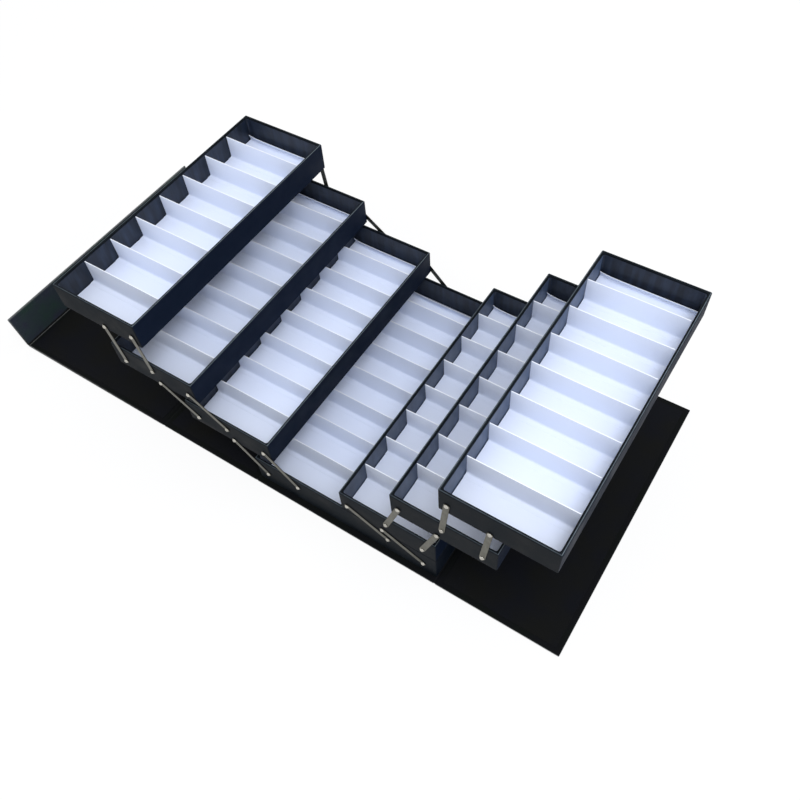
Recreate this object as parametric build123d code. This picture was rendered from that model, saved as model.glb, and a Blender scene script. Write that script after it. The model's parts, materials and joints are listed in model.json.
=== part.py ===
from build123d import *
import os
from math import asin, atan, atan2, cos, degrees, hypot, radians, sin, sqrt

# Sunglasses storage case, opened out for display.
# A double base box stands on the bottom board of a folding cover. Three trays ride on
# riveted parallel links over each half of the base, and fan out to the left and right.
# The origin is the centre of the case's underside, +X runs across both stacks and
# +Z is up. Trays run along Y, and the front is at -Y. Sizes are in millimetres.

os.makedirs("parts", exist_ok=True)

# Trays
tray_length = 460.0
tray_width = 165.0
tray_height = 48.0
tray_wall = 4.5
tray_floor = 2.5
outer_corner = 1.5
rim_bevel = 0.9
stack_gap = 0.5

# Base box under both stacks
middle_gap = 3.0
base_floor = 8.0
base_depth = 49.0
middle_wall = 4.5

# White card inserts
compartments = 8
card_thickness = 1.0
card_side_gap = 1.5
card_bend = 5.0
divider_foot = 9.0
divider_below_rim = 3.0
back_upturn = 6.0

# Parallel links and their rivets
link_width = 9.0
link_thickness = 1.0
link_standoff = 0.3
pair_spacing = 61.0
pair_rise = 13.0
head_inset = 13.0
head_height = 6.0
foot_inset = 22.0
foot_height = 17.5
rivet_shank = 3.8
rivet_head = 7.0
rivet_dome = 2.5
rivet_sink = 3.0
rivet_sides = 8
pivot_clearance = 0.05
open_pivot_clearance = 0.1
head_play = 0.1

# Lean of each stage's links away from the middle, in degrees, as the case stands open
left_leans = [44.0, 53.0, 7.0]
right_upper_leans = [19.0, 6.0]

# Cover of wrapped boards
board_thickness = 3.0
board_corner = 3.0
board_bevel = 0.6
board_end_overhang = 10.0
cover_end_overhang = 10.0
fold_bead = 1.4
fold_web = 0.8
fold_clearance = 0.3
side_clearance = 1.0
top_clearance = 1.0
lip_clearance = 1.0
edge_clearance = 0.5
lip_width = 66.0
lip_rest_tilt = 78.0
lining_thickness = 0.4
hem_width = 9.0
bead_end_inset = 2.0

# Sizes that follow
tray_pitch = tray_height + stack_gap
base_width = 2 * tray_width + middle_gap
base_top = board_thickness + base_floor + base_depth
card_width = tray_width - 2 * tray_wall - 2 * card_side_gap
card_length = tray_length - 2 * tray_wall - 2 * card_side_gap
compartment_pitch = (tray_length - 2 * tray_wall) / compartments
half_centre = (tray_width + middle_gap) / 2
closed_reach = tray_width - head_inset - pair_spacing - foot_inset
closed_rise = tray_pitch + head_height - foot_height
link_length = hypot(closed_reach, closed_rise)
closed_lean = degrees(atan2(closed_reach, closed_rise))
fold_height = board_thickness - fold_bead / 2
fold_gap = fold_bead / 2 + fold_clearance
left_fold_x = -base_width / 2 - side_clearance - fold_bead / 2
right_fold_x = -left_fold_x
stack_top = base_top + 3 * tray_pitch
wall_reach = stack_top + top_clearance + fold_bead / 2 - fold_height
lid_reach = base_width + 2 * side_clearance + board_thickness + lip_clearance + fold_bead
right_reach = stack_top + top_clearance - edge_clearance - fold_height
lid_fold_x = left_fold_x - wall_reach
lip_fold_x = lid_fold_x - lid_reach
board_length = tray_length + 2 * board_end_overhang
cover_length = tray_length + 2 * cover_end_overhang

# Pivots on a tray, measured from its middle towards the middle of the case, and up
# from its underside. The first of each pair is the outer one.
foot_pivots = [
    (foot_inset - tray_width / 2, foot_height),
    (foot_inset + pair_spacing - tray_width / 2, foot_height + pair_rise),
]
head_pivots = [
    (tray_width / 2 - head_inset - pair_spacing, head_height),
    (tray_width / 2 - head_inset, head_height + pair_rise),
]


def write(node, pieces):
    """Write one node's solids, joined side by side but not fused."""
    solids = [solid for piece in pieces for solid in piece.solids()]
    shape = solids[0] if len(solids) == 1 else Compound(children=solids)
    export_step(shape, "parts/" + node + ".step")


def cut_corners(width, length, cut):
    """A rectangle with its four corners cut off at 45 degrees."""
    outline = Rectangle(width, length)
    return chamfer(outline.vertices(), cut)


def open_box(width, length, height, floor):
    """A box of wrapped board, open on top."""
    outer = extrude(cut_corners(width, length, outer_corner), height)
    hollow = extrude(Rectangle(width - 2 * tray_wall, length - 2 * tray_wall), height - floor)
    return outer - Pos(0, 0, floor) * hollow


def soft_rim(box):
    """Ease the top edges of a box, where the wrapping turns over the board."""
    return chamfer(box.edges().group_by(Axis.Z)[-1], rim_bevel)


def outward(end):
    """Turn +Z to point out of the front (end -1) or back (end 1) of the trays."""
    return Rot(X=-90 * end)


def pivot_places(centre_x, underside, side, pivots):
    """World X and Z of a tray's pivots. side is -1 for the left stack, 1 for the right."""
    return [(centre_x - side * inward, underside + up) for inward, up in pivots]


def rivet_holes(places):
    """Blind holes for the rivets in both end walls."""
    outline = RegularPolygon(rivet_shank / 2 + pivot_clearance, rivet_sides)
    hole = extrude(outline, -rivet_sink)
    return [
        Pos(x, end * tray_length / 2, z) * outward(end) * hole
        for end in (-1, 1)
        for x, z in places
    ]


def rivet():
    """A domed rivet along +Z, with Z = 0 at the face of the tray's end wall.

    The dome follows a ball in two steps, down from its flat crown to the head's rim.
    """
    seat = link_standoff + link_thickness + head_play
    rim = rivet_head / 2
    ball = (rim**2 + rivet_dome**2) / (2 * rivet_dome)
    rim_angle = asin(rim / ball)
    form = extrude(RegularPolygon(rivet_shank / 2, rivet_sides), seat)
    form += extrude(RegularPolygon(rivet_shank / 2, rivet_sides), -rivet_sink)
    below, radius = 0, rim
    for angle in (rim_angle * 0.6, rim_angle * 0.2):
        above = rivet_dome - ball * (1 - cos(angle))
        lean = degrees(atan((radius - ball * sin(angle)) * cos(radians(180 / rivet_sides)) / (above - below)))
        ring = extrude(RegularPolygon(radius, rivet_sides), above - below, taper=lean)
        form += Pos(0, 0, seat + below) * ring
        below, radius = above, ball * sin(angle)
    return form


def rivets(places):
    """A rivet at each pivot, on both ends of a tray."""
    one = rivet()
    return [
        Pos(x, end * tray_length / 2, z) * outward(end) * one
        for end in (-1, 1)
        for x, z in places
    ]


def link_pair(foot, head, head_clearance):
    """The front and back bars between two pivots of neighbouring trays."""
    hole = rivet_shank / 2
    outline = SlotCenterToCenter(link_length, link_width)
    for x, clearance in ((-link_length / 2, pivot_clearance), (link_length / 2, head_clearance)):
        outline -= Pos(x, 0) * RegularPolygon(hole + clearance, rivet_sides, major_radius=False)
    bar = extrude(outline, link_thickness)
    bars = []
    for end in (-1, 1):
        middle = (
            (foot[0] + head[0]) / 2,
            end * (tray_length / 2 + link_standoff),
            (foot[1] + head[1]) / 2,
        )
        along = (head[0] - foot[0], 0, head[1] - foot[1])
        bars.append(Plane(origin=middle, x_dir=along, z_dir=(0, end, 0)) * bar)
    return bars


def folded_card(reach, height):
    """White card that lies flat towards the front and bends up to stand at Y = 0."""
    sheet = card_thickness
    slant = sheet * sqrt(2)
    section = Polyline(
        (-reach, 0),
        (-card_bend, 0),
        (sheet, card_bend + sheet),
        (sheet, height),
        (0, height),
        (0, card_bend + slant),
        (sheet - card_bend - slant, sheet),
        (-reach, sheet),
        close=True,
    )
    return extrude(Plane.YZ * make_face(section), card_width / 2, both=True)


def floor_card(centre_x, floor_top):
    """The card over a compartment row's floor, turned up at the back."""
    card = folded_card(card_length - card_thickness, card_bend + card_thickness + back_upturn)
    return Pos(centre_x, card_length / 2 - card_thickness, floor_top) * card


def dividers(centre_x, floor_top, depth):
    """The standing cards between the compartments, glued down by their feet."""
    card = folded_card(divider_foot, depth - card_thickness - divider_below_rim)
    first = compartment_pitch - compartments * compartment_pitch / 2 - card_thickness / 2
    return [
        Pos(centre_x, first + step * compartment_pitch, floor_top + card_thickness) * card
        for step in range(compartments - 1)
    ]


def tray(name, side, centre_x, underside, carries):
    """Write a tray's shell, cards and rivets. The top tray of a stack carries no links."""
    places = pivot_places(centre_x, underside, side, head_pivots)
    if carries:
        places += pivot_places(centre_x, underside, side, foot_pivots)
    shell = soft_rim(open_box(tray_width, tray_length, tray_height, tray_floor))
    write(name + "_shell", [Pos(centre_x, 0, underside) * shell - rivet_holes(places)])
    write(name + "_card", [floor_card(centre_x, underside + tray_floor)])
    write(name + "_dividers", dividers(centre_x, underside + tray_floor, tray_height - tray_floor))
    write(name + "_rivets", rivets(places))


def stack(word, side, leans):
    """Build one stack from the base up. Each tray swings on links from the one below."""
    centre_x = side * half_centre
    underside = base_top - tray_height
    for level, lean in enumerate(leans, start=1):
        lower = pivot_places(centre_x, underside, side, foot_pivots)
        shift = link_length * (sin(radians(lean)) + sin(radians(closed_lean)))
        lift = link_length * cos(radians(lean)) - closed_rise
        centre_x += side * shift
        underside += tray_pitch + lift
        upper = pivot_places(centre_x, underside, side, head_pivots)
        name = word + "_tray_" + str(level)
        tray(name, side, centre_x, underside, level < len(leans))
        write(name + "_outer_links", link_pair(lower[0], upper[0], open_pivot_clearance))
        write(name + "_inner_links", link_pair(lower[1], upper[1], pivot_clearance))


def base():
    """The double box under both stacks, with its cards and rivets."""
    box = open_box(base_width, tray_length, base_top - board_thickness, base_floor)
    partition = Pos(0, 0, base_floor / 2) * Box(
        middle_wall,
        tray_length - tray_wall,
        base_top - board_thickness - base_floor / 2,
        align=(Align.CENTER, Align.CENTER, Align.MIN),
    )
    box = Pos(0, 0, board_thickness) * soft_rim(box + partition)
    floor_top = board_thickness + base_floor
    places = []
    cards = []
    for word, side in (("left", -1), ("right", 1)):
        centre_x = side * half_centre
        places += pivot_places(centre_x, base_top - tray_height, side, foot_pivots)
        cards.append(floor_card(centre_x, floor_top))
        write("base_dividers_" + word, dividers(centre_x, floor_top, base_depth))
    write("base_box", [box - rivet_holes(places)])
    write("base_cards", cards)
    write("base_rivets", rivets(places))


def board(start_x, end_x, length):
    """A wrapped board that lies flat on the table between two X positions."""
    outline = cut_corners(abs(end_x - start_x), length, board_corner)
    slab = extrude(outline, board_thickness)
    layers = slab.faces().sort_by(Axis.Z)
    slab = chamfer(layers[0].edges() + layers[-1].edges(), board_bevel)
    return Pos((start_x + end_x) / 2, 0, 0) * slab


def lining(start_x, end_x, length):
    """The thin sheet glued on a board's inner face, inside the turned-over hem."""
    width = abs(end_x - start_x) - 2 * hem_width
    sheet = extrude(Rectangle(width, length - 2 * hem_width), lining_thickness)
    return Pos((start_x + end_x) / 2, 0, board_thickness) * sheet


def fold(axis_x, parent_side, length):
    """The soft bead that a board folds about, with the web that holds it to its parent."""
    run = length - 2 * bead_end_inset
    bead = Pos(axis_x, 0, fold_height) * Rot(X=90) * Cylinder(fold_bead / 2, run)
    web = Pos(axis_x, 0, fold_height - fold_bead / 2) * Box(
        fold_gap,
        run,
        fold_web,
        align=(Align.MAX if parent_side < 0 else Align.MIN, Align.CENTER, Align.MIN),
    )
    return bead + web


def cover():
    """The cover that closes round the trays: side walls, lid and closing lip."""
    write("bottom_board", [board(left_fold_x + fold_gap, right_fold_x - fold_gap, board_length)])
    write("left_fold", [fold(left_fold_x, 1, board_length)])
    write("right_fold", [fold(right_fold_x, -1, board_length)])

    left_wall = (left_fold_x - fold_gap, lid_fold_x + fold_gap)
    lid = (lid_fold_x - fold_gap, lip_fold_x + fold_gap)
    lip = (lip_fold_x - fold_gap, lip_fold_x - lip_width)
    right_wall = (right_fold_x + fold_gap, right_fold_x + right_reach)
    write("left_wall_board", [board(*left_wall, cover_length)])
    write("left_wall_lining", [lining(*left_wall, cover_length)])
    write("lid_fold", [fold(lid_fold_x, 1, cover_length)])
    write("lid_board", [board(*lid, cover_length)])
    write("lid_lining", [lining(*lid, cover_length)])
    write("lip_fold", [fold(lip_fold_x, 1, cover_length)])
    write("right_wall_board", [board(*right_wall, cover_length)])
    write("right_wall_lining", [lining(*right_wall, cover_length)])

    lip_axis = Axis((lip_fold_x, 0, fold_height), (0, 1, 0))
    write("lip_board", [board(*lip, cover_length).rotate(lip_axis, lip_rest_tilt)])
    write("lip_lining", [lining(*lip, cover_length).rotate(lip_axis, lip_rest_tilt)])


cover()
base()
stack("left", -1, left_leans)
stack("right", 1, [-closed_lean] + right_upper_leans)
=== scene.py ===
"""Sunglasses storage case, opened out: wrapped trays, white card, riveted links and cover.

Every piece is built in metres in the case's own frame. +X runs across the two stacks of
trays, the front is at -Y, and +Z is up from the underside.
"""

import json
import math

import bpy
import numpy as np
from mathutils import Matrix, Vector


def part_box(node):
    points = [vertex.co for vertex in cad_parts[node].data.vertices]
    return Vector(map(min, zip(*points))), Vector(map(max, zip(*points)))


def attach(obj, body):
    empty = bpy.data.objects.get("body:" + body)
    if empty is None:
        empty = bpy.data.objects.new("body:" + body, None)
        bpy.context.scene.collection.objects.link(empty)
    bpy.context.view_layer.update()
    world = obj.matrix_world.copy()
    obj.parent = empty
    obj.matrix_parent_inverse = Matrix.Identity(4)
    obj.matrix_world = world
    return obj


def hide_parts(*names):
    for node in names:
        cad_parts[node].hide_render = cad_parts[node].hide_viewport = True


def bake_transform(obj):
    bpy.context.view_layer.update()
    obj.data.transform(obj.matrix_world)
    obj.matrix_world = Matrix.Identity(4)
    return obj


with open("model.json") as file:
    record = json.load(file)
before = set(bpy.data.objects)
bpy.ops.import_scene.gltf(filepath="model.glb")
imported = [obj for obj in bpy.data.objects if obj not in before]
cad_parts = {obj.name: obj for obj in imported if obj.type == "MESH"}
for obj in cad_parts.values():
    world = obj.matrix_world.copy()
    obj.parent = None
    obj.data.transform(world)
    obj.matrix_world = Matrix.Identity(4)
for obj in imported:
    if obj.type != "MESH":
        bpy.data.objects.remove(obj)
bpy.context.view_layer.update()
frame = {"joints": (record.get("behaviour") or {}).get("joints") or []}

bl_info = {
    "name": "Sunglasses storage case",
    "version": (1, 0, 0),
    "blender": (4, 5, 0),
    "location": "3D View > Sidebar > Storage case",
    "description": "Builds the wrapped trays, card inserts, riveted links and folding cover",
    "category": "Add Mesh",
}

MM = 0.001
PIVOTS = {joint["name"]: np.array(joint["pos_m"]) for joint in frame["joints"]}
TRAYS = [f"{stack}_tray_{level}" for stack in ("left", "right") for level in (1, 2, 3)]
DIVIDERS = 7
ENDS = np.array([-1.0, 1.0])  # which way the front and the back end wall face along Y
CRISP = math.radians(35)  # faces that meet at more than this keep a crisp edge
LEAST_CORNER = 0.5 * MM

# A colour mix node's sockets by number, because it has others with the same names
FACTOR, FIRST, SECOND, MIXED = 0, 6, 7, 2

# The view of the photograph: focal length in mm, place, and turn about X, Y and Z in degrees
LENS = 36.466
EYE = (0.42515, -0.61596, 1.14396)
EYE_TURN = (34.516, 3.098, 32.908)

# Soft square lamps: name, place and power in watts
LAMPS = (("front_softbox", (1.05, -0.7, 2.8), 37.0), ("right_fill", (1.7, 0.7, 1.3), 3.0))
LAMP_SIDE = 1.4
LAMP_AIM = np.array([-0.1, 0.0, 0.1])
LAMP_COLOUR = "#eef3ff"


# Colours, and the sizes that a user may change


def linear(hex_colour):
    """An sRGB hex colour as linear red, green, blue and alpha."""
    code = np.array([int(hex_colour[i : i + 2], 16) for i in (1, 3, 5)]) / 255
    light = np.where(code <= 0.04045, code / 12.92, ((code + 0.055) / 1.055) ** 2.4)
    return (*light.tolist(), 1.0)


def colour_property(name, description, hex_colour):
    """A colour that a user may change."""
    return bpy.props.FloatVectorProperty(
        name=name,
        description=description,
        default=linear(hex_colour),
        size=4,
        subtype="COLOR",
        min=0,
        max=1,
    )


def length_property(name, description, millimetres):
    """A length that a user may change."""
    return bpy.props.FloatProperty(
        name=name,
        description=description,
        default=millimetres * MM,
        subtype="DISTANCE",
        unit="LENGTH",
        min=0,
    )


class CaseTraySettings(bpy.types.PropertyGroup):
    """Sizes of the wrapped trays and the base box."""

    wall: length_property("Wall", "Thickness of the wrapped side walls", 4.5)
    floor: length_property("Floor", "Thickness of a tray's floor", 2.5)
    base_floor: length_property("Base floor", "Thickness of the base box's floor", 8.0)
    middle_wall: length_property("Middle wall", "Thickness of the base box's middle wall", 4.5)
    corner: length_property("Corner", "Outer radius of the upright corners", 2.0)
    inner_corner: length_property("Inner corner", "Radius of the upright corners inside", 3.5)
    edge: length_property("Edge", "Radius along the bottom edges", 0.8)
    rim: length_property("Rim", "Radius along the top edges", 2.0)
    lining: length_property("Lining", "Thickness of the lining paper", 0.3)
    lining_drop: length_property("Lining drop", "How far the lining stops below the rim", 3.0)


class CaseCardSettings(bpy.types.PropertyGroup):
    """Sizes of the white card inserts."""

    thickness: length_property("Thickness", "Thickness of the card", 1.0)
    bend: length_property("Bend", "Inner radius of the folds", 2.5)
    foot: length_property("Foot", "Length of a divider's glued foot", 9.0)
    feather: length_property("Feather", "Length over which the foot's end is thinned", 3.0)


class CaseLinkSettings(bpy.types.PropertyGroup):
    """Sizes of the link bars and rivets."""

    width: length_property("Bar width", "Width of a link bar", 9.0)
    thickness: length_property("Bar thickness", "Thickness of a link bar", 1.0)
    standoff: length_property("Standoff", "Gap between a bar and the tray's end wall", 0.3)
    head: length_property("Rivet head", "Diameter of a rivet's head", 7.0)
    dome: length_property("Rivet dome", "Height of a rivet's dome", 2.5)
    shank: length_property("Rivet shank", "Diameter of a rivet's shank", 3.8)
    play: length_property("Play", "Gap between a bar and the rivet's head", 0.1)


class CaseCoverSettings(bpy.types.PropertyGroup):
    """Sizes of the cover's wrapped boards."""

    board: length_property("Board", "Thickness of a wrapped board", 3.0)
    edge: length_property("Edge", "Radius of a board's wrapped edges", 0.9)
    corner: length_property("Corner", "Radius of a board's corners", 1.2)
    hem: length_property("Hem", "Width of the turned-over wrapping inside", 9.0)
    lining: length_property("Lining", "Thickness of the inner lining", 0.4)
    lip: length_property("Lip", "Width of the closing lip, from its fold", 66.0)
    fold_gap: length_property("Fold gap", "From a fold's axis to the board's edge", 1.0)
    lip_tilt: bpy.props.FloatProperty(
        name="Lip tilt",
        description="How far the lip stands up",
        default=math.radians(78),
        subtype="ANGLE",
    )


class CaseColourSettings(bpy.types.PropertyGroup):
    """Colours of the finishes."""

    leatherette: colour_property("Leatherette", "Trays' end walls and rims", "#0a0f14")
    # The navy on the trays' long walls is partly the wrapping's colour and partly painted
    # reflection of the sky and the white card.
    navy: colour_property("Navy leatherette", "Trays' long walls", "#0b1526")
    # The paler line on the trays' rims is a painted highlight.
    scuff_and_highlight: colour_property("Worn leatherette", "Rubbed rims of the trays", "#76828a")
    satin: colour_property("Satin lining", "Lining of the trays", "#0f1826")
    card: colour_property("Card", "White card inserts", "#e5ecfb")
    cover: colour_property("Cover", "Cover's wrapping", "#0c0d10")
    # The cover's edges: scuffed along the narrow sides, and a painted highlight along the lid's
    # and lip's left edges and the folds' ridges.
    cover_edge: colour_property("Cover edge", "Rubbed edges of the cover", "#8c8d8b")
    # The lip's paler green tone is painted sheen where its tilted face catches the light.
    lip: colour_property("Lip", "Inner face of the closing lip", "#1f302d")
    cloth: colour_property("Cover lining", "Lining of the cover", "#080a10")
    nickel: colour_property("Nickel", "Faces of the link bars", "#5f5e54")
    # The link bars' dark narrow sides are painted shade.
    bar_side_shade: colour_property("Cut edge", "Sheared edges of the link bars", "#24221f")
    bright: colour_property("Bright nickel", "Rivet heads", "#c4c1b9")


# Surfaces, as whole arrays of points
#
# A mesh is a pair: points as an array of rows of x, y, z, and a list of face arrays, each
# with the same number of corners in every row.


def merged(meshes):
    """Several meshes as one: each mesh's corner numbers move up by the points before it."""
    sizes = np.cumsum([0] + [len(points) for points, _ in meshes[:-1]])
    points = np.concatenate([points for points, _ in meshes])
    faces = [rows + start for start, (_, arrays) in zip(sizes, meshes) for rows in arrays]
    return points, faces


def loft(loops):
    """A closed skin over a stack of equal loops, shape (rings, points, 3).

    Corner (r, p) joins (r, p + 1), (r + 1, p + 1) and (r + 1, p), with p wrapping round.
    One face closes each end. Loops run anticlockwise seen from the way they are stacked.
    """
    rings, count = loops.shape[:2]
    index = np.arange(rings * count).reshape(rings, count)
    beside = np.roll(index, -1, axis=1)
    sides = np.stack([index[:-1], beside[:-1], beside[1:], index[1:]], axis=-1).reshape(-1, 4)
    return loops.reshape(-1, 3), [sides, index[:1, ::-1], index[-1:]]


def arc(centre_inset, centre_height, radius, start, end, steps=5):
    """Rows of inset and height along a turn: centre plus radius times cosine and sine."""
    angle = np.radians(np.linspace(start, end, steps))
    inset = centre_inset + radius * np.cos(angle)
    return np.stack([inset, centre_height + radius * np.sin(angle)], axis=1)


def box_loops(low, high, profile, radii, steps=6):
    """Rounded rectangles, one for each row of inset and height in the profile.

    Each corner's centre lies the inset plus the radius inside the box, and its points are
    the centre plus the radius times the cosine and sine of the angle.
    """
    inset, height = profile[:, :1], profile[:, 1:]
    radius = radii[:, None]
    angle = np.radians(np.arange(4)[:, None] * 90 + np.linspace(0, 90, steps)).reshape(-1)
    side_x = np.repeat([1.0, -1.0, -1.0, 1.0], steps)
    side_y = np.repeat([1.0, 1.0, -1.0, -1.0], steps)
    half_x, half_y = (high[0] - low[0]) / 2, (high[1] - low[1]) / 2
    x = (low[0] + high[0]) / 2 + side_x * (half_x - inset - radius) + radius * np.cos(angle)
    y = (low[1] + high[1]) / 2 + side_y * (half_y - inset - radius) + radius * np.sin(angle)
    return np.stack([x, y, np.broadcast_to(height, x.shape)], axis=-1)


def open_box(low, high, wall, floor, edge, rim, corner, inner_corner):
    """A box open on top: the profile goes up the outside, over a rounded rim and down inside.

    The corner radius outside is the outer one less the inset.
    """
    bottom, top = low[2], high[2]
    rim_steps = 7
    profile = np.concatenate([
        arc(edge, bottom + edge, edge, 270, 180),
        arc(rim, top - rim, rim, 180, 90, rim_steps),
        arc(wall - rim, top - rim, rim, 90, 0, rim_steps),
        [[wall, bottom + floor]],
    ])
    inset = profile[:, 0]
    radii = np.where(inset < wall / 2, np.maximum(corner - inset, LEAST_CORNER), inner_corner)
    return loft(box_loops(low, high, profile, radii))


def slab(low, high, edge, corner, swell=0.0, swell_width=0.0):
    """A flat board with soft edges, whose top swells a little along a border.

    The swelling is a half sine of the inset across the border's width.
    """
    bottom, top = low[2], high[2]
    share = np.linspace(0, 1, 9)[1:]
    border = max(swell_width - edge, 0.1 * MM)
    profile = np.concatenate([
        arc(edge, bottom + edge, edge, 270, 180),
        arc(edge, top - edge, edge, 180, 90),
        np.stack([edge + share * border, top + swell * np.sin(np.pi * share)], axis=1),
    ])
    radii = np.maximum(corner - profile[:, 0], LEAST_CORNER)
    return loft(box_loops(low, high, profile, radii))


def folded_section(reach, height, sheet, bend, feather, steps=8):
    """Outline of a folded card, as rows of y and z: flat towards -y, then up at y = 0.

    The fold's two arcs share a centre, one bend radius above the flat part's top. The flat
    part's end is thinned to a seventh over the feather's length.
    """
    outer = arc(-bend, bend + sheet, bend + sheet, -90, 0, steps)
    inner = arc(-bend, bend + sheet, bend, 0, -90, steps)
    below_cut = height - 0.6 * MM
    top = [[sheet, below_cut], [sheet, height], [0, height], [0, below_cut]]
    foot = [[feather - reach, sheet], [-reach, sheet / 7]]
    return np.concatenate([[[-reach, 0]], outer, top, inner, foot])


def across_x(section, low_x, high_x, steps):
    """A section of two columns, carried along X in equal steps, as loops."""
    x = np.broadcast_to(np.linspace(low_x, high_x, steps)[:, None], (steps, len(section)))
    return np.stack([x, *(np.broadcast_to(column, x.shape) for column in section.T)], axis=-1)


def turned(points, axis_point, angle):
    """Points turned about an axis along Y: x and z mix by the angle's cosine and sine."""
    x, z = points[..., 0] - axis_point[0], points[..., 2] - axis_point[2]
    cosine, sine = np.cos(angle), np.sin(angle)
    turned_x = axis_point[0] + x * cosine + z * sine
    turned_z = axis_point[2] + z * cosine - x * sine
    return np.stack([turned_x, points[..., 1], turned_z], axis=-1)


def on_end_walls(mesh, places, wall_y):
    """Copies of a small mesh, its +Z facing out, at X and Z places on both end walls.

    A point's x and y lie along the wall from the place, and its z out from the wall.
    """
    points, faces = mesh
    places = np.asarray(places)[:, None, None]
    end = ENDS[None, :, None]
    x = places[..., 0] + points[:, 0]
    y = end * (wall_y + points[:, 2])
    z = places[..., 1] - end * points[:, 1]
    many = np.stack(np.broadcast_arrays(x, y, z), axis=-1).reshape(-1, 3)
    starts = np.arange(len(places) * 2)[:, None, None] * len(points)
    return many, [(rows[None] + starts).reshape(-1, rows.shape[1]) for rows in faces]


# Objects


def new_piece(name, mesh, material, body, replaced=(), marks=None, blend=None):
    """Make a mesh object, smooth it, and tie it to the body that it moves with. A piece given
    blend is tied to no body and stays where it is made.

    The marks are values for each point, such as scuffing, painted highlights and painted
    shade, that the materials read by name.
    """
    points, faces = mesh
    data = bpy.data.meshes.new(name)
    data.from_pydata(points.tolist(), [], [row for rows in faces for row in rows.tolist()])
    data.shade_smooth()
    data.set_sharp_from_angle(angle=CRISP)
    for label, values in (marks or {}).items():
        kind, key = ("FLOAT_VECTOR", "vector") if values.ndim == 2 else ("FLOAT", "value")
        layer = data.attributes.new(label, kind, "POINT")
        layer.data.foreach_set(key, values.astype(np.float32).ravel())
    data.materials.append(material)
    piece = bpy.data.objects.new(name, data)
    bpy.context.scene.collection.objects.link(piece)
    piece.modifiers.new("Even shading", "WEIGHTED_NORMAL").keep_sharp = True
    if blend:
        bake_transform(piece)
    else:
        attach(piece, body)
    if replaced:
        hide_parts(*replaced)


def corners(node):
    """Lowest and highest corner of a node, as arrays."""
    low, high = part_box(node)
    return np.array(low), np.array(high)


def stages():
    """Each stage's lower body, upper tray, and the X and Z of its four pivots.

    The pivots are the inner links' foot and head, then the outer links'. The outer head
    lies from its foot as the inner one does.
    """
    rows = []
    for tray in TRAYS:
        stack, level = tray.rsplit("_", 1)
        below = "base" if level == "1" else f"{stack}_{int(level) - 1}"
        inner_foot, inner_head = PIVOTS[tray + "_swing"], PIVOTS[tray + "_level"]
        outer_foot = PIVOTS[tray + "_outer_links_turn"]
        outer_head = outer_foot + inner_head - inner_foot
        pivots = [point[[0, 2]] for point in (inner_foot, inner_head, outer_foot, outer_head)]
        rows.append((below, tray, *pivots))
    return rows


# Materials


def add(tree, kind, settings=None, **inputs):
    """Add a node with its settings and links. Returns the node.

    A key is a property's name, or an input's name or number. Another node's output, given
    as an input's value, is linked to it.
    """
    node = tree.nodes.new(kind)
    for key, value in {**(settings or {}), **inputs}.items():
        if isinstance(value, bpy.types.NodeSocket):
            tree.links.new(value, node.inputs[key])
        elif isinstance(key, int) or key in node.inputs:
            node.inputs[key].default_value = value
        else:
            setattr(node, key, value)
    return node


def empty_material(name):
    """A new material, and its node tree with nothing in it."""
    material = bpy.data.materials.new(name)
    material.use_nodes = True
    material.node_tree.nodes.clear()
    return material, material.node_tree


def finished(material, shading):
    """The material, once its one shader has these settings and links."""
    tree = material.node_tree
    shader = add(tree, "ShaderNodeBsdfPrincipled", shading)
    add(tree, "ShaderNodeOutputMaterial", Surface=shader.outputs["BSDF"])
    return material


def layered(tree, colour, layers):
    """A colour with others laid over it in turn, each as far as its own factor says."""
    for factor, over in layers:
        mix = add(
            tree,
            "ShaderNodeMix",
            {"data_type": "RGBA", FACTOR: factor, FIRST: colour, SECOND: over},
        )
        colour = mix.outputs[MIXED]
    return colour


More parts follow.
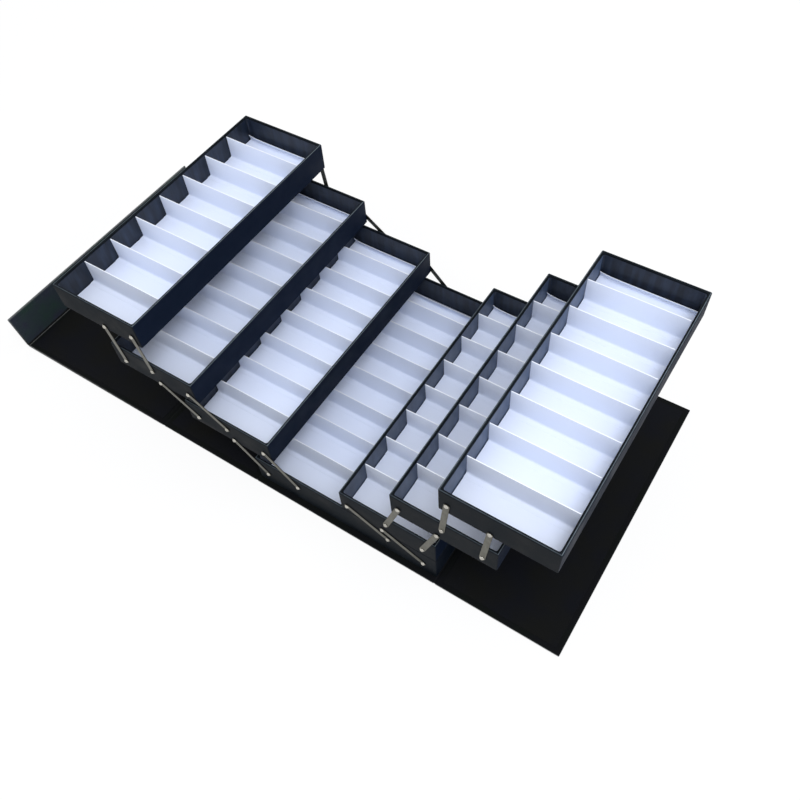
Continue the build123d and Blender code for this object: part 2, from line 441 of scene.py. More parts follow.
def grained(name, colour, patch, scuff_and_highlight, grain, depth, roughness, specular, second=None):
    """Pressed grain: cells of the grain's size, under soft patches of colour and gloss.

    The piece's marked places, finely broken up, take the paler colour: scuffed edges, and
    painted highlights on rims, edges and ridges. Places marked second take the second colour:
    navy on the trays' long walls that is partly painted reflection, and painted shade beside
    the lip's fold.
    """
    patch_size, breakup_size, gloss_spread = 35 * MM, 6 * MM, 0.1
    material, tree = empty_material(name)
    place = add(tree, "ShaderNodeTexCoord").outputs["Object"]
    cells = add(
        tree,
        "ShaderNodeTexVoronoi",
        {"feature": "SMOOTH_F1", "Scale": 1 / grain, "Smoothness": 0.6},
        Vector=place,
    )
    patches = add(
        tree, "ShaderNodeTexNoise", {"Scale": 1 / patch_size, "Detail": 3.0}, Vector=place
    ).outputs["Fac"]
    gloss = add(
        tree,
        "ShaderNodeMapRange",
        {
            "From Min": 0.3,
            "From Max": 0.7,
            "To Min": roughness - gloss_spread,
            "To Max": roughness + gloss_spread,
        },
        Value=patches,
    )
    tint = add(tree, "ShaderNodeMapRange", {"From Min": 0.35, "From Max": 0.7}, Value=patches)
    layers = [(tint.outputs[0], patch)]
    if second:
        marked = add(tree, "ShaderNodeAttribute", {"attribute_name": "second"})
        layers.append((marked.outputs["Fac"], second))
    # Paler where marked: scuffed edges, and painted highlights on rims, edges and ridges.
    paler_mark = add(tree, "ShaderNodeAttribute", {"attribute_name": "scuff_and_painted_light"}).outputs["Fac"]
    breakup = add(
        tree, "ShaderNodeTexNoise", {"Scale": 1 / breakup_size, "Detail": 4.0}, Vector=place
    )
    uneven = add(
        tree,
        "ShaderNodeMapRange",
        {"From Min": 0.3, "From Max": 0.62, "To Min": 0.55, "To Max": 1.0},
        Value=breakup.outputs["Fac"],
    )
    amount = add(
        tree, "ShaderNodeMath", {"operation": "MULTIPLY", 0: paler_mark, 1: uneven.outputs[0]}
    )
    layers.append((amount.outputs[0], scuff_and_highlight))
    bump = add(
        tree,
        "ShaderNodeBump",
        {"Strength": 0.5, "Distance": depth},
        Height=cells.outputs["Distance"],
    )
    return finished(material, {
        "Specular IOR Level": specular,
        "Base Color": layered(tree, colour, layers),
        "Roughness": gloss.outputs[0],
        "Normal": bump.outputs["Normal"],
    })


def leatherette():
    """Wrapped leatherette over board: a pressed pebble grain, drawn 1.6 mm wide so that it
    shows, dull, with a paler line on the rim that is a painted highlight, and navy long walls
    whose blue is partly the wrapping's colour and partly painted reflection."""
    colours = bpy.context.scene.case_colours
    return grained(
        "pressed_leatherette",
        colour=tuple(colours.leatherette),
        patch=linear("#151a1f"),
        scuff_and_highlight=tuple(colours.scuff_and_highlight),
        second=tuple(colours.navy),
        grain=1.6 * MM,
        depth=0.15 * MM,
        roughness=0.62,
        specular=0.06,
    )


def cover_leatherette():
    """The cover's leatherette: the same pressing, duller, with edges scuffed through to the
    backing, and painted highlights along the lid's left edge and the folds' ridges."""
    colours = bpy.context.scene.case_colours
    return grained(
        "cover_leatherette",
        colour=tuple(colours.cover),
        patch=linear("#0e110f"),
        scuff_and_highlight=tuple(colours.cover_edge),
        grain=1.8 * MM,
        depth=0.12 * MM,
        roughness=0.78,
        specular=0.06,
    )


def sheened_lip_leatherette():
    """The closing lip's inner face: leatherette too, in patches of green and navy, a little
    glossy. Its paler green tone is painted sheen where its tilted face catches the light,
    and it is painted dark beside its fold, a painted shade in the crease."""
    colours = bpy.context.scene.case_colours
    return grained(
        "sheened_lip_leatherette",
        colour=tuple(colours.lip),
        patch=linear("#202532"),
        scuff_and_highlight=tuple(colours.cover_edge),
        second=tuple(colours.cover),
        grain=1.8 * MM,
        depth=0.12 * MM,
        roughness=0.6,
        specular=0.3,
    )


def satin_lining():
    """Navy satin paper glued inside the trays: smooth, with faint paler upright streaks that
    are painted sheen, and a sheen that catches the sky. Its fine weave is drawn 0.9 mm wide."""
    cloud_size, streak_size, weave_size = 28 * MM, 9 * MM, 0.9 * MM
    material, tree = empty_material("navy_satin_paper")
    colours = bpy.context.scene.case_colours
    place = add(tree, "ShaderNodeTexCoord").outputs["Object"]
    clouds = add(
        tree, "ShaderNodeTexNoise", {"Scale": 1 / cloud_size, "Detail": 3.0}, Vector=place
    ).outputs["Fac"]
    upright = add(tree, "ShaderNodeMapping", {"Scale": (1.0, 1.0, 0.12)}, Vector=place)
    streak_noise = add(
        tree,
        "ShaderNodeTexNoise",
        {"Scale": 1 / streak_size, "Detail": 3.0},
        Vector=upright.outputs["Vector"],
    )
    streaks = add(
        tree,
        "ShaderNodeMapRange",
        {"From Min": 0.4, "From Max": 0.8, "To Min": 0.0, "To Max": 0.4},
        Value=streak_noise.outputs["Fac"],
    )
    # The darker clouds are the paper's own tone; the paler upright streaks are painted sheen.
    layers = [(clouds, linear("#070c14")), (streaks.outputs[0], linear("#35435c"))]
    gloss = add(tree, "ShaderNodeMapRange", {"To Min": 0.32, "To Max": 0.55}, Value=clouds)
    weave = add(
        tree, "ShaderNodeTexNoise", {"Scale": 1 / weave_size, "Detail": 2.0}, Vector=place
    )
    bump = add(
        tree,
        "ShaderNodeBump",
        {"Strength": 0.15, "Distance": 0.05 * MM},
        Height=weave.outputs["Fac"],
    )
    return finished(material, {
        "Specular IOR Level": 0.35,
        "Sheen Weight": 0.55,
        "Sheen Roughness": 0.35,
        "Sheen Tint": linear("#8aa2cc"),
        "Base Color": layered(tree, tuple(colours.satin), layers),
        "Roughness": gloss.outputs[0],
        "Normal": bump.outputs["Normal"],
    })


def white_card():
    """Clay-coated white card: matt, faintly blue, with fibre mottling about 1 mm across and
    slow waves where the sheet isn't quite flat. Its cut top edge is painted paler: a painted
    highlight where it faces the light."""
    fibre_size, wave_size = 1.1 * MM, 45 * MM
    material, tree = empty_material("coated_white_card")
    colours = bpy.context.scene.case_colours
    place = add(tree, "ShaderNodeTexCoord").outputs["Object"]
    fibre = add(
        tree, "ShaderNodeTexNoise", {"Scale": 1 / fibre_size, "Detail": 4.0}, Vector=place
    ).outputs["Fac"]
    tone = add(
        tree,
        "ShaderNodeMapRange",
        {"From Min": 0.3, "From Max": 0.7, "To Min": 0.0, "To Max": 0.3},
        Value=fibre,
    )
    # The card's cut top edge is painted paler: a painted highlight.
    cut = add(tree, "ShaderNodeAttribute", {"attribute_name": "scuff_and_painted_light"}).outputs["Fac"]
    layers = [(tone.outputs[0], linear("#dbe3f5")), (cut, linear("#f3f7fd"))]
    waves = add(
        tree, "ShaderNodeTexNoise", {"Scale": 1 / wave_size, "Detail": 1.0}, Vector=place
    )
    slow = add(
        tree,
        "ShaderNodeBump",
        {"Strength": 0.5, "Distance": 1.0 * MM},
        Height=waves.outputs["Fac"],
    )
    fine = add(
        tree,
        "ShaderNodeBump",
        {"Strength": 0.12, "Distance": 0.05 * MM},
        Height=fibre,
        Normal=slow.outputs["Normal"],
    )
    return finished(material, {
        "Specular IOR Level": 0.35,
        "Roughness": 0.62,
        "Base Color": layered(tree, tuple(colours.card), layers),
        "Normal": fine.outputs["Normal"],
    })


def cover_lining():
    """Matt black lining cloth inside the cover: a plain weave, drawn 1.4 mm wide so that it
    shows, with a few pale specks of lint."""
    cloud_size, lint_spacing, weave_size = 60 * MM, 14 * MM, 1.4 * MM
    material, tree = empty_material("matt_lining_cloth")
    colours = bpy.context.scene.case_colours
    place = add(tree, "ShaderNodeTexCoord").outputs["Object"]
    clouds = add(
        tree, "ShaderNodeTexNoise", {"Scale": 1 / cloud_size, "Detail": 4.0}, Vector=place
    )
    cloudy = add(
        tree,
        "ShaderNodeMapRange",
        {"From Min": 0.35, "From Max": 0.65},
        Value=clouds.outputs["Fac"],
    )
    lint = add(
        tree,
        "ShaderNodeTexVoronoi",
        {"Scale": 1 / lint_spacing, "Randomness": 1.0},
        Vector=place,
    )
    speck = add(
        tree,
        "ShaderNodeMapRange",
        {"From Min": 0.0, "From Max": 0.05, "To Min": 0.35, "To Max": 0.0},
        Value=lint.outputs["Distance"],
    )
    layers = [(cloudy.outputs[0], linear("#0b0c0b")), (speck.outputs[0], linear("#4a4c50"))]
    weave = add(
        tree, "ShaderNodeTexNoise", {"Scale": 1 / weave_size, "Detail": 3.0}, Vector=place
    )
    bump = add(
        tree,
        "ShaderNodeBump",
        {"Strength": 0.4, "Distance": 0.15 * MM},
        Height=weave.outputs["Fac"],
    )
    return finished(material, {
        "Specular IOR Level": 0.12,
        "Roughness": 0.85,
        "Base Color": layered(tree, tuple(colours.cloth), layers),
        "Normal": bump.outputs["Normal"],
    })


def metal(name, colour, dark, edge, roughness, streak):
    """Plated steel: fine lines, drawn 0.7 mm apart, stains about 9 mm across, and a darker
    colour where the piece is marked, which on the link bars is painted shade on their narrow
    sides.

    The lines follow the piece's own flat layout, and are longest where streak is least.
    """
    line_size, stain_size = 0.7 * MM, 9 * MM
    material, tree = empty_material(name)
    flat = add(tree, "ShaderNodeAttribute", {"attribute_name": "flat"}).outputs["Vector"]
    stretch = add(tree, "ShaderNodeMapping", {"Scale": (streak, 1.0, 1.0)}, Vector=flat)
    lines = add(
        tree,
        "ShaderNodeTexNoise",
        {"Scale": 1 / line_size, "Detail": 3.0},
        Vector=stretch.outputs["Vector"],
    ).outputs["Fac"]
    tarnish = add(
        tree, "ShaderNodeTexNoise", {"Scale": 1 / stain_size, "Detail": 3.0}, Vector=flat
    )
    stain = add(
        tree,
        "ShaderNodeMapRange",
        {"From Min": 0.4, "From Max": 0.7, "To Min": 0.0, "To Max": 0.8},
        Value=tarnish.outputs["Fac"],
    )
    # The marked sides take a darker colour: on the link bars, painted shade.
    side = add(tree, "ShaderNodeAttribute", {"attribute_name": "scuff_and_painted_light"}).outputs["Fac"]
    layers = [(stain.outputs[0], dark), (side, edge)]
    gloss = add(
        tree,
        "ShaderNodeMapRange",
        {"To Min": roughness - 0.08, "To Max": roughness + 0.12},
        Value=lines,
    )
    bump = add(
        tree, "ShaderNodeBump", {"Strength": 0.2, "Distance": 0.03 * MM}, Height=lines
    )
    return finished(material, {
        "Metallic": 1.0,
        "Base Color": layered(tree, colour, layers),
        "Roughness": gloss.outputs[0],
        "Normal": bump.outputs["Normal"],
    })


# Pieces


class CASE_OT_trays(bpy.types.Operator):
    """Wrapped shells of the base box and the six trays, with their satin linings"""

    bl_idname = "case.trays"
    bl_label = "Trays and base box"

    def execute(self, context):
        sizes = context.scene.case_trays
        wrap, satin = leatherette(), satin_lining()
        for name in ["base"] + TRAYS:
            is_base = name == "base"
            node = "base_box" if is_base else name + "_shell"
            low, high = corners(node)
            floor = sizes.base_floor if is_base else sizes.floor
            shell = open_box(
                low,
                high,
                sizes.wall,
                floor,
                sizes.edge,
                sizes.rim,
                sizes.corner,
                sizes.inner_corner,
            )
            inside = np.array([sizes.wall, sizes.wall, 0])
            rooms = [(low + inside + [0, 0, floor], high - inside)]
            if is_base:
                middle, rooms = self.halves(*rooms[0], sizes)
                shell = merged([shell, middle])
            new_piece(
                name + "_wrapped_shell",
                shell,
                wrap,
                name,
                [node],
                # The base box's long walls take less of the navy, which is partly painted
                # reflection.
                marks=self.marks(shell[0], low, high, 0.3 if is_base else 1.0),
            )
            linings = [self.lining(room_low, room_high, sizes) for room_low, room_high in rooms]
            new_piece(name + "_satin_lining", merged(linings), satin, name)
        return {"FINISHED"}

    @staticmethod
    def halves(low, high, sizes):
        """The base box's middle wall, let 1 mm into the box, and the room on each side."""
        half, let_in = sizes.middle_wall / 2, 1 * MM
        wall_low = np.array([-half, low[1] - let_in, low[2] - let_in])
        wall_high = np.array([half, high[1] + let_in, high[2]])
        rooms = [(low, np.array([-half, *high[1:]])), (np.array([half, *low[1:]]), high)]
        return slab(wall_low, wall_high, sizes.rim, LEAST_CORNER), rooms

    @staticmethod
    def marks(points, low, high, blueness):
        """Where the wrapping is painted paler, and where it is navy.

        A paler line about 1 mm wide, 1.3 mm in from the outside of a rim, is a painted
        highlight along the rim's crest, stronger on the long walls than on the end walls. The
        long walls are
        navy by the given blueness: partly the wrapping's colour and partly painted reflection.
        """
        line_inset, fading, rim_height, end_share = 1.3 * MM, 0.6 * MM, 2 * MM, 0.5
        from_end = np.minimum(points[:, 1] - low[1], high[1] - points[:, 1])
        from_side = np.minimum(points[:, 0] - low[0], high[0] - points[:, 0])
        from_line = np.abs(np.minimum(from_end, from_side) - line_inset)
        on_rim = points[:, 2] > high[2] - rim_height
        line = np.clip(1 - from_line / fading, 0, 1) * on_rim
        return {
            "scuff_and_painted_light": line * np.where(from_end < from_side, end_share, 1.0),
            "second": np.clip(1 - from_side / fading, 0, 1) * blueness,
        }

    @staticmethod
    def lining(low, high, sizes):
        """Lining paper in one hollow: an open box, as thin as the paper, below the rim."""
        hidden = 0.2 * MM
        low = low - hidden
        high = np.array([high[0] + hidden, high[1] + hidden, high[2] - sizes.lining_drop])
        sheet = sizes.lining + hidden
        soft = 0.1 * MM
        return open_box(low, high, sheet, sheet, soft, soft, LEAST_CORNER, sizes.inner_corner)


class CASE_OT_cards(bpy.types.Operator):
    """White floor cards, turned up at the back, and the folded dividers glued on them"""

    bl_idname = "case.cards"
    bl_label = "Card inserts"

    def execute(self, context):
        sizes = context.scene.case_cards
        card = white_card()
        chance, spring = np.random.default_rng(11), np.random.default_rng(5)
        for name in ["base"] + TRAYS:
            card_node = "base_cards" if name == "base" else name + "_card"
            sides = ("_left", "_right") if name == "base" else ("",)
            floors = []
            for side in sides:
                divider_node = name + "_dividers" + side
                low, high = corners(card_node)
                divider_low, divider_high = corners(divider_node)
                low[0], high[0] = divider_low[0], divider_high[0]
                floors.append(self.floor(low, high, sizes, spring.uniform(6 * MM, 10 * MM)))
                self.piece(
                    name + side + "_folded_dividers",
                    self.dividers(divider_low, divider_high, sizes, chance),
                    card,
                    name,
                    divider_node,
                )
            self.piece(name + "_floor_card", merged(floors), card, name, card_node)
        return {"FINISHED"}

    @staticmethod
    def piece(name, mesh, card, body, node):
        """A card piece whose cut top edge, within 0.3 mm of its top, is marked for a painted
        highlight.
        """
        height = mesh[0][:, 2]
        cut = (height > height.max() - 0.3 * MM).astype(float)
        new_piece(name, mesh, card, body, [node], marks={"scuff_and_painted_light": cut})

    @staticmethod
    def floor(low, high, sizes, stand_off):
        """One floor card, folded up at the back: its section carried across the row.

        The turned-up part stands off the wall at its top by the given distance, times its
        share of the height, and half as far at its left end, from which that fades over
        12 mm.
        """
        steps, end_share, fading = 33, 0.5, 12 * MM
        reach, height = high[1] - low[1] - sizes.thickness, high[2] - low[2]
        section = folded_section(reach, height, sizes.thickness, sizes.bend, sizes.feather)
        loops = across_x(section, low[0], high[0], steps)
        rise = np.maximum(loops[..., 2] - sizes.bend, 0) / (height - sizes.bend)
        curl = 1 - end_share * np.exp(-(loops[..., 0] - low[0]) / fading)
        at_back = loops[..., 1] > -2 * sizes.bend
        loops[..., 1] -= stand_off * rise * curl * at_back
        loops[..., 1] += high[1] - sizes.thickness
        loops[..., 2] += low[2]
        return loft(loops)

    @staticmethod
    def dividers(low, high, sizes, chance):
        """Seven folded dividers. Each leans a degree or so and bows a little along its length.

        Above the fold a point moves in Y by its height times the lean's tangent, plus the
        bow times one less the squared distance from the middle, times the height's share.
        """
        steps, usual_lean, usual_bow, bow_power = 13, 0.6, 0.5 * MM, 1.5
        section = folded_section(
            sizes.foot, high[2] - low[2], sizes.thickness, sizes.bend, sizes.feather
        )
        loops = across_x(section, low[0], high[0], steps)
        span = (high[1] - sizes.thickness) - (low[1] + sizes.foot)
        parts = []
        for step in range(DIVIDERS):
            lean, bow = chance.normal(0, usual_lean), chance.normal(0, usual_bow)
            row = loops.copy()
            rise = np.maximum(row[..., 2] - sizes.bend, 0)
            along = (row[..., 0] - row[..., 0].mean()) / np.ptp(row[..., 0]) * 2
            bowed = bow * (1 - along**2) * (rise / rise.max()) ** bow_power
            row[..., 1] += rise * math.tan(math.radians(lean)) + bowed
            row[..., 1] += low[1] + sizes.foot + span * step / (DIVIDERS - 1)
            row[..., 2] += low[2]
            parts.append(loft(row))
        return merged(parts)


class CASE_OT_links(bpy.types.Operator):
    """Flat steel bars between the trays, with rounded ends and broken edges"""

    bl_idname = "case.links"
    bl_label = "Link bars"

    def execute(self, context):
        sizes = context.scene.case_links
        colours = context.scene.case_colours
        nickel = metal(
            "nickel_plated_strip",
            colour=tuple(colours.nickel),
            dark=linear("#4c4a41"),
            edge=tuple(colours.bar_side_shade),
            roughness=0.36,
            streak=0.08,
        )
        wall_y = corners("left_tray_1_shell")[1][1]
        back_pattern = [0.5, 0.3, 0]  # moves the back bar's stains away from the front's
        for _, tray, inner_foot, inner_head, outer_foot, outer_head in stages():
            for kind, foot, head in (
                ("inner", inner_foot, inner_head),
                ("outer", outer_foot, outer_head),
            ):
                flat, faces = self.bar(np.linalg.norm(head - foot), sizes)
                inner_face = wall_y + sizes.standoff
                bars = [(self.placed(flat, foot, head, end, inner_face), faces) for end in ENDS]
                body = f"{tray}_{kind}_links"
                new_piece(
                    f"{tray}_{kind}_link_bars",
                    merged(bars),
                    nickel,
                    body,
                    [body],
                    marks={
                        "flat": np.concatenate([flat, flat + back_pattern]),
                        # Their narrow sides take painted shade.
                        "scuff_and_painted_light": np.tile(self.shaded_sides(flat, sizes), 2),
                    },
                )
        return {"FINISHED"}

    @staticmethod
    def placed(flat, foot, head, end, inner_face):
        """A flat bar set on an end wall: its x runs from foot to head, its z out from the wall.

        In the plane of X and Z, a point is the middle of foot and head, plus its x times the
        unit vector between them, plus its y times that vector turned by a right angle, one
        way at the front and the other way at the back.
        """
        along = (head - foot) / np.linalg.norm(head - foot)
        middle = (foot + head) / 2
        x = middle[0] + flat[:, 0] * along[0] + end * flat[:, 1] * along[1]
        y = end * (inner_face + flat[:, 2])
        z = middle[1] + flat[:, 0] * along[1] - end * flat[:, 1] * along[0]
        return np.stack([x, y, z], axis=1)

    @staticmethod
    def shaded_sides(flat, sizes):
        """1 on a bar's narrow sides, where shade is painted, falling to 0 on its two faces."""
        from_face = np.minimum(flat[:, 2], sizes.thickness - flat[:, 2])
        return np.clip(from_face / (0.3 * MM), 0, 1)

    @staticmethod
    def bar(length, sizes):
        """A bar along X on Z = 0: two half circles, drawn in by the inset of a rounded edge.

        Right end: half the length plus the radius times the cosine, from -90 to 90 degrees,
        and the left end likewise from 90 to 270.
        """
        edge, edge_steps, end_steps = 0.3 * MM, 4, 13
        profile = np.concatenate([
            arc(edge, edge, edge, 270, 180, edge_steps),
            arc(edge, sizes.thickness - edge, edge, 180, 90, edge_steps),
        ])
        right, left = np.linspace(-90, 90, end_steps), np.linspace(90, 270, end_steps)
        angle = np.radians(np.concatenate([right, left]))
        side = np.repeat([length / 2, -length / 2], end_steps)
        radius = sizes.width / 2 - profile[:, :1]
        x = side + radius * np.cos(angle)
        y = radius * np.sin(angle)
        return loft(np.stack([x, y, np.broadcast_to(profile[:, 1:], x.shape)], axis=-1))


class CASE_OT_rivets(bpy.types.Operator):
    """Domed rivets that hold the link bars to the end walls"""

    bl_idname = "case.rivets"
    bl_label = "Rivets"

    def execute(self, context):
        sizes = context.scene.case_links
        colours = context.scene.case_colours
        dull = linear("#8d8a82")
        bright = metal(
            "bright_nickel_rivet",
            colour=tuple(colours.bright),
            dark=dull,
            edge=dull,
            roughness=0.24,
            streak=1.0,
        )
        wall_y = corners("left_tray_1_shell")[1][1]
        pattern_step = 0.1  # moves each rivet's stains away from the last one's
        dome = self.rivet(sizes)
        places = {}
        for below, tray, inner_foot, inner_head, outer_foot, outer_head in stages():
            places.setdefault(below, []).extend([inner_foot, outer_foot])
            places.setdefault(tray, []).extend([inner_head, outer_head])
        for body, pivots in places.items():
            count = len(pivots) * len(ENDS)
            flat = np.tile(dome[0], (count, 1))
            flat += np.repeat(np.arange(count), len(dome[0]))[:, None] * pattern_step
            new_piece(
                body + "_domed_rivets",
                on_end_walls(dome, pivots, wall_y),
                bright,
                body,
                [body + "_rivets"],
                marks={"flat": flat},
            )
        return {"FINISHED"}

    @staticmethod
    def rivet(sizes, steps=24):
        """A rivet along Z: circles whose radii follow the shank, the head's rim and a ball cap.

        The ball through the rim and the crown has radius (rim squared plus rise squared) over
        twice the rise, and the cap's rings lie at even angles from its rim to near its crown.
        """
        sunk, bevel, brim, crown_angle, rings = 1.0 * MM, 0.1 * MM, 0.25 * MM, 0.06, 9
        seat = sizes.standoff + sizes.thickness + sizes.play
        rim, shank = sizes.head / 2, sizes.shank / 2
        rise = sizes.dome - brim
        ball = (rim**2 + rise**2) / (2 * rise)
        angle = np.linspace(math.asin(rim / ball), crown_angle, rings)
        cap_height = seat + brim + rise - ball * (1 - np.cos(angle))
        profile = np.concatenate([
            [[shank, -sunk], [shank, seat], [rim - bevel, seat], [rim, seat + bevel]],
            np.stack([ball * np.sin(angle), cap_height], axis=1),
        ])
        turn = np.radians(np.arange(steps) * 360 / steps)
        radius, height = profile[:, :1], profile[:, 1:]
        x = radius * np.cos(turn)
        y = radius * np.sin(turn)
        return loft(np.stack([x, y, np.broadcast_to(height, x.shape)], axis=-1))


class CASE_OT_cover(bpy.types.Operator):
    """The cover's wrapped boards, their linings and the soft folds between them"""

    bl_idname = "case.cover"
    bl_label = "Folding cover"

    def execute(self, context):
        sizes = context.scene.case_cover
        wrap, cloth, lip_sheet = cover_leatherette(), cover_lining(), sheened_lip_leatherette()
        for panel in ("bottom", "left_wall", "lid", "lip", "right_wall"):
            outside, inside = (lip_sheet, lip_sheet) if panel == "lip" else (wrap, cloth)
            self.board(panel, sizes, outside, inside)
        for node, joint, parent, child in (
            ("left_fold", "left_wall_fold", "base", "left_wall"),
            ("right_fold", "right_wall_fold", "base", "right_wall"),
            ("lid_fold", "lid_fold_up", "left_wall", "lid"),
            ("lip_fold", "lip_fold_up", "lid", "lip"),
        ):
            self.fold(node, PIVOTS[joint], parent, child, sizes, wrap)
        return {"FINISHED"}

    def board(self, panel, sizes, outside, inside):
        """One wrapped board, which swells a little over its hem, and the lining inside.

        The lip is made flat, and then turned up about its fold. The bottom board has no
        lining, because the base box covers it.
        """
        swell, sheet_sunk, sheet_edge, sheet_corner = 0.12 * MM, 0.1 * MM, 0.15 * MM, 1.5 * MM
        body = "base" if panel == "bottom" else panel
        lip_axis = PIVOTS["lip_fold_up"]
        low, high = corners(panel + "_board")
        if panel == "lip":
            low = np.array([lip_axis[0] - sizes.lip, low[1], 0])
            high = np.array([lip_axis[0] - sizes.fold_gap, high[1], sizes.board])
        board = slab(low, high, sizes.edge, sizes.corner, swell, sizes.hem)
        inset = np.array([sizes.hem, sizes.hem, 0])
        sheet_low = low + inset + [0, 0, sizes.board - sheet_sunk]
        sheet_high = high - inset + [0, 0, sizes.lining]
        sheet = slab(sheet_low, sheet_high, sheet_edge, sheet_corner)
        marks = self.marks(board[0], low, high, panel)
        if panel == "lip":
            board = (turned(board[0], lip_axis, sizes.lip_tilt), board[1])
            sheet = (turned(sheet[0], lip_axis, sizes.lip_tilt), sheet[1])
        new_piece(
            panel + "_wrapped_board",
            board,
            outside,
            body,
            [panel + "_board"],
            marks=marks,
        )
        if panel != "bottom":
            new_piece(
                panel + "_inner_lining",
                sheet,
                inside,
                body,
                [panel + "_lining"],
            )

    @staticmethod
    def marks(points, low, high, panel):
        """Where a board is scuffed, where it is painted paler, and where the lip is painted
        dark.

        The narrow sides are scuffed along the front and the back and the right wall's free
        edge. On top, a paler line 2.5 mm wide runs along the left edge of the lid, beside the
        lip's fold, and of the lip: a painted highlight where those edges catch the light. The
        lip is painted dark for 2 mm beside its fold: painted shade in the crease.
        """
        fading, line_width, line_share, dark_width = 1 * MM, 2.5 * MM, 0.45, 2 * MM
        face_fading, side_depth = 0.4 * MM, 1 * MM
        height = points[:, 2]
        from_face = np.minimum(height - low[2], high[2] - height)
        side = np.clip(from_face / face_fading - 0.5, 0, 1)
        from_end = np.minimum(points[:, 1] - low[1], high[1] - points[:, 1])
        outer = from_end < side_depth
        if panel == "right_wall":
            outer |= high[0] - points[:, 0] < side_depth
        scuff_and_painted_light = side * outer
        # A painted highlight along the lid's and lip's left edges, where they catch the light.
        if panel in ("lid", "lip"):
            line = np.clip((line_width - (points[:, 0] - low[0])) / fading, 0, 1)
            on_top = height > (low[2] + high[2]) / 2
            scuff_and_painted_light = np.maximum(scuff_and_painted_light, line * on_top * line_share)
        # Painted shade in the crease beside the lip's fold.
        dark = (points[:, 0] - high[0] + dark_width + fading) / fading
        return {"scuff_and_painted_light": scuff_and_painted_light, "second": np.clip(dark, 0, 1)}

    @staticmethod
    def fold(node, axis, parent, child, sizes, material):
        """A soft strip across a fold, grooved along its middle, and bent to the lip's tilt at
        the lip's fold.

        Half width 2.2 mm. The top dips and the bottom rises by a squared cosine of the
        distance from the middle, and a ridge, a bell curve 1.2 mm wide, runs along the parent's
        side, painted paler: a painted highlight along the crease. A point turns by the lip's
        tilt times the smooth step of its place between the two boards. The lip's fold is
        deeper, and its ridge higher and more strongly painted, than the others.
        """
        is_lip = child == "lip"
        tilt = sizes.lip_tilt if is_lip else 0.0
        groove = 1.0 * MM if is_lip else 0.3 * MM
        ridge_strength = 0.6 if is_lip else 0.03
        away = 1.0 if child == "right_wall" else -1.0
        half, steps_across, steps_along = 2.2 * MM, 21, 25
        off_ground, hollow, below_board = 0.15 * MM, 0.35 * MM, 0.12 * MM
        ridge_place, ridge_height, ridge_width = away * 1.5 * MM, 0.3 * MM, 0.6 * MM
        highlight_width, bending_share = 0.7 * MM, 0.9
        across = np.linspace(-half, half, steps_across)
        dip = np.cos(across / half * np.pi / 2) ** 2
        bottom = off_ground + hollow * dip
        ridge = np.exp(-(((across - ridge_place) / ridge_width) ** 2))
        top = sizes.board - below_board - groove * dip + ridge_height * ridge * ridge_strength
        low_edge = np.stack([across, bottom], axis=1)
        high_edge = np.stack([across, top], axis=1)[::-1]
        section = np.concatenate([low_edge, high_edge])
        run_low, run_high = corners(("bottom" if parent == "base" else child) + "_board")
        run = (run_low[1] + sizes.edge, run_high[1] - sizes.edge)
        points, faces = loft(across_x(section, *run, steps_along))
        from_ridge = (points[:, 1] - ridge_place) / highlight_width
        # The ridge is painted paler: a painted highlight along the crease.
        paler_mark = np.exp(-(from_ridge**2)) * (points[:, 2] > sizes.board / 2)
        points = np.stack([axis[0] - points[:, 1], points[:, 0], points[:, 2]], axis=1)
        gap = sizes.fold_gap * bending_share
        share = np.clip((away * (points[:, 0] - axis[0]) + gap) / (2 * gap), 0, 1)
        bent = turned(points, axis, tilt * share**2 * (3 - 2 * share))
        start = (axis[0] - away * gap, 0, axis[2])
        end = (axis[0] + away * gap, 0, axis[2])
        new_piece(
            node + "_soft_strip",
            (bent, faces),
            material,
            None,
            [node],
            marks={"scuff_and_painted_light": paler_mark * ridge_strength},
            blend=(parent, child, start, end),
        )


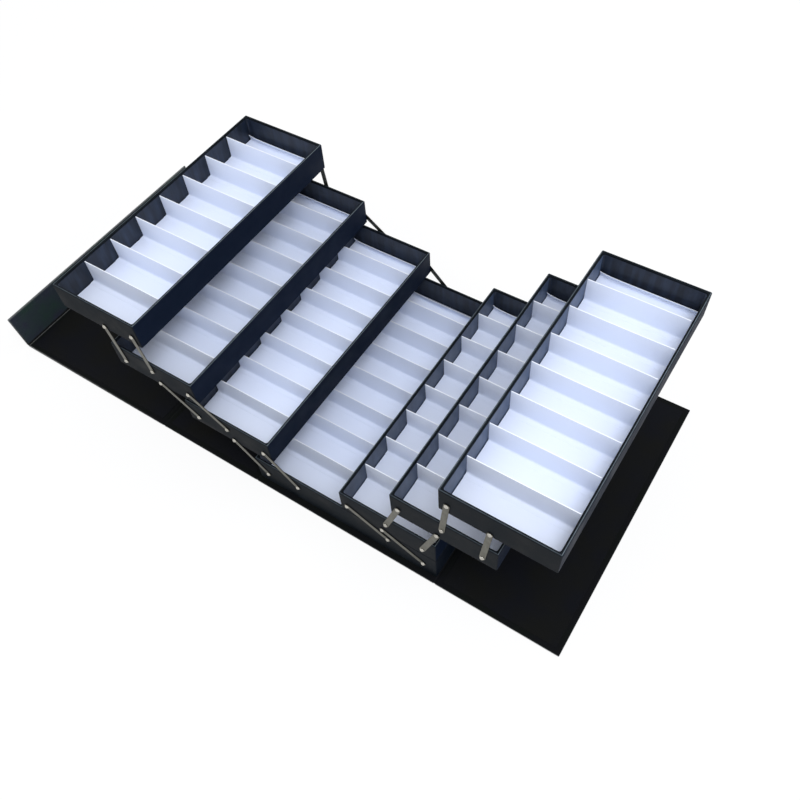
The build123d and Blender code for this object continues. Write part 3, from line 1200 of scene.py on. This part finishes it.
class CASE_OT_stage(bpy.types.Operator):
    """Pale floor, soft lights and the camera"""

    bl_idname = "case.stage"
    bl_label = "Stage"

    def execute(self, context):
        scene = context.scene
        self.floor()
        self.lights(scene)
        camera = bpy.data.cameras.new("view")
        camera.lens = LENS
        camera.sensor_width = 36.0
        camera.clip_end = 50.0
        eye = bpy.data.objects.new("view", camera)
        eye.location = EYE
        eye.rotation_euler = [math.radians(angle) for angle in EYE_TURN]
        scene.collection.objects.link(eye)
        scene.camera = eye
        scene.view_settings.view_transform = "Standard"
        return {"FINISHED"}

    @staticmethod
    def floor():
        """A large pale floor. Seen straight by the camera or in a gloss it goes mostly to
        white, and the rest of it keeps the case's shadow."""
        half, below, white_share = 6.0, 0.4 * MM, 0.85
        grid = [(-half, -half), (half, -half), (half, half), (-half, half)]
        data = bpy.data.meshes.new("pale_floor")
        data.from_pydata([(x, y, -below) for x, y in grid], [], [(0, 1, 2, 3)])
        floor = bpy.data.objects.new("pale_floor", data)
        bpy.context.scene.collection.objects.link(floor)
        material, tree = empty_material("pale_floor_paper")
        matt = add(tree, "ShaderNodeBsdfDiffuse", {"Color": linear("#f2f2f2")})
        glow = add(tree, "ShaderNodeEmission", {"Color": (1, 1, 1, 1), "Strength": 1.0})
        path = add(tree, "ShaderNodeLightPath")
        share = path.outputs["Is Camera Ray"]
        for ray in ("Is Glossy Ray", "Is Transmission Ray"):
            either = add(
                tree, "ShaderNodeMath", {"operation": "MAXIMUM", 0: share, 1: path.outputs[ray]}
            )
            share = either.outputs[0]
        scaled = add(
            tree, "ShaderNodeMath", {"operation": "MULTIPLY", 0: share, 1: white_share}
        )
        both = add(
            tree,
            "ShaderNodeMixShader",
            {0: scaled.outputs[0], 1: matt.outputs[0], 2: glow.outputs[0]},
        )
        add(tree, "ShaderNodeOutputMaterial", Surface=both.outputs[0])
        data.materials.append(material)

    @staticmethod
    def lights(scene):
        """An even white sky, one wide soft lamp in front on the right, and a weak one behind.

        A lamp shines along its own -Z. It tips from there by the angle between straight down
        and its aim, and turns about Z to face it.
        """
        world = bpy.data.worlds.new("pale_sky")
        scene.world = world
        world.use_nodes = True
        tree = world.node_tree
        tree.nodes.clear()
        sky = add(tree, "ShaderNodeBackground", {"Color": (1, 1, 1, 1), "Strength": 1.0})
        add(tree, "ShaderNodeOutputWorld", Surface=sky.outputs[0])
        for name, place, power in LAMPS:
            lamp = bpy.data.lights.new(name, "AREA")
            lamp.size = LAMP_SIDE
            lamp.energy = power
            lamp.color = linear(LAMP_COLOUR)[:3]
            holder = bpy.data.objects.new(name, lamp)
            holder.location = place
            x, y, z = LAMP_AIM - np.array(place)
            tip = math.atan2(math.hypot(x, y), -z)
            holder.rotation_euler = (tip, 0, math.atan2(y, x) - math.pi / 2)
            scene.collection.objects.link(holder)


class CASE_PT_panel(bpy.types.Panel):
    """Lists the case's pieces in the sidebar"""

    bl_idname = "CASE_PT_panel"
    bl_label = "Storage case"
    bl_space_type = "VIEW_3D"
    bl_region_type = "UI"
    bl_category = "Storage case"

    def draw(self, context):
        for operator in OPERATORS:
            self.layout.operator(operator.bl_idname)


SETTINGS = {
    "case_trays": CaseTraySettings,
    "case_cards": CaseCardSettings,
    "case_links": CaseLinkSettings,
    "case_cover": CaseCoverSettings,
    "case_colours": CaseColourSettings,
}
OPERATORS = (
    CASE_OT_trays,
    CASE_OT_cards,
    CASE_OT_links,
    CASE_OT_rivets,
    CASE_OT_cover,
    CASE_OT_stage,
)


def register():
    """Add the settings, the operators and the panel."""
    for group in (*SETTINGS.values(), *OPERATORS, CASE_PT_panel):
        bpy.utils.register_class(group)
    for name, group in SETTINGS.items():
        setattr(bpy.types.Scene, name, bpy.props.PointerProperty(type=group))


def unregister():
    """Take them away again."""
    for name in SETTINGS:
        delattr(bpy.types.Scene, name)
    for group in (CASE_PT_panel, *reversed(OPERATORS), *reversed(SETTINGS.values())):
        bpy.utils.unregister_class(group)


def main():
    """Build every piece in order."""
    register()
    bpy.ops.case.trays()
    bpy.ops.case.cards()
    bpy.ops.case.links()
    bpy.ops.case.rivets()
    bpy.ops.case.cover()
    bpy.ops.case.stage()


if __name__ == "__main__":
    main()
